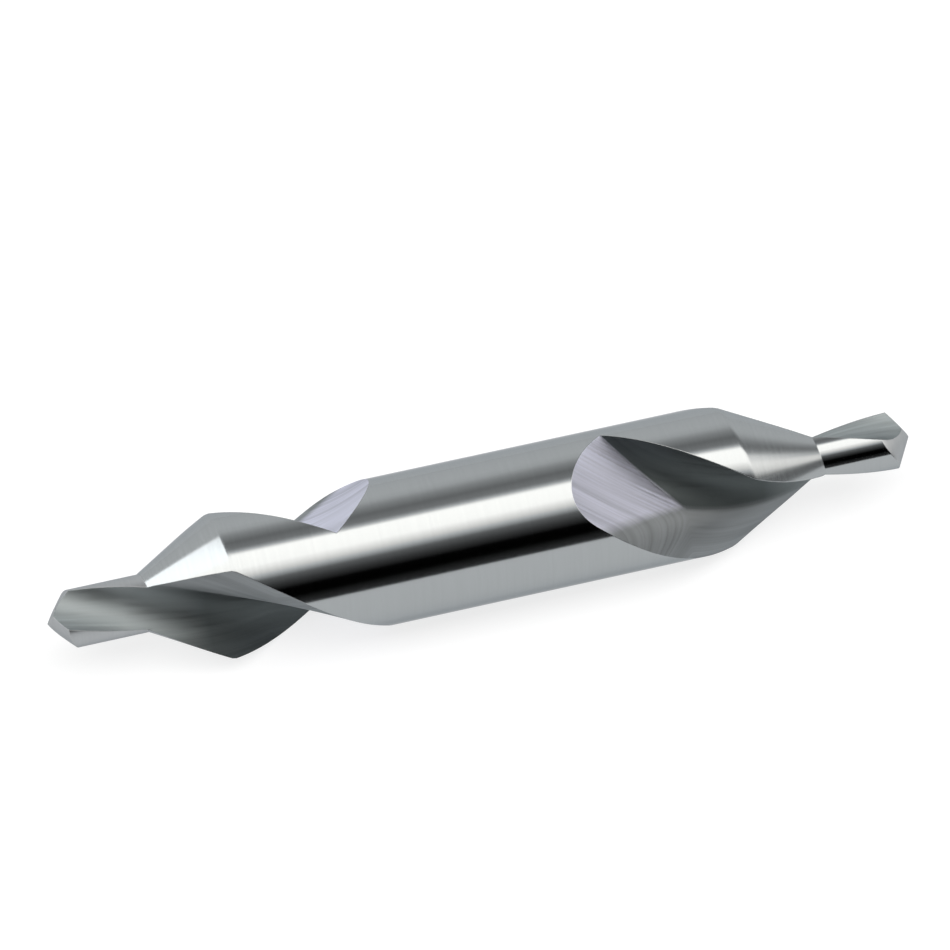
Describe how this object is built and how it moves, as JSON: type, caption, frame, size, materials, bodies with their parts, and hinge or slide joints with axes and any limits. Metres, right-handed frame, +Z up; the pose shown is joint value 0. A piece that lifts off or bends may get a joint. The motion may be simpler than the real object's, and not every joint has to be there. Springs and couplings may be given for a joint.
{
  "type": "centre drill",
  "caption": "Double-ended centre drill: a cylindrical body with a fluted pilot drill and 60 degree countersink at each end, for starting holes and drilling lathe centres.",
  "frame": {"origin": "on the axis of the body, half way between the two points", "axes": "+X along the axis towards the end with the slightly longer flutes, the right end in the picture; +Z up in the picture's view"},
  "size_m": [0.048, 0.008, 0.008],
  "materials": {
    "ground_steel": "bright ground high speed steel, fine grinding marks around the body and along the flutes"
  },
  "bodies": {
    "root": {"centre_drill": "ground_steel"}
  },
  "joints": []
}
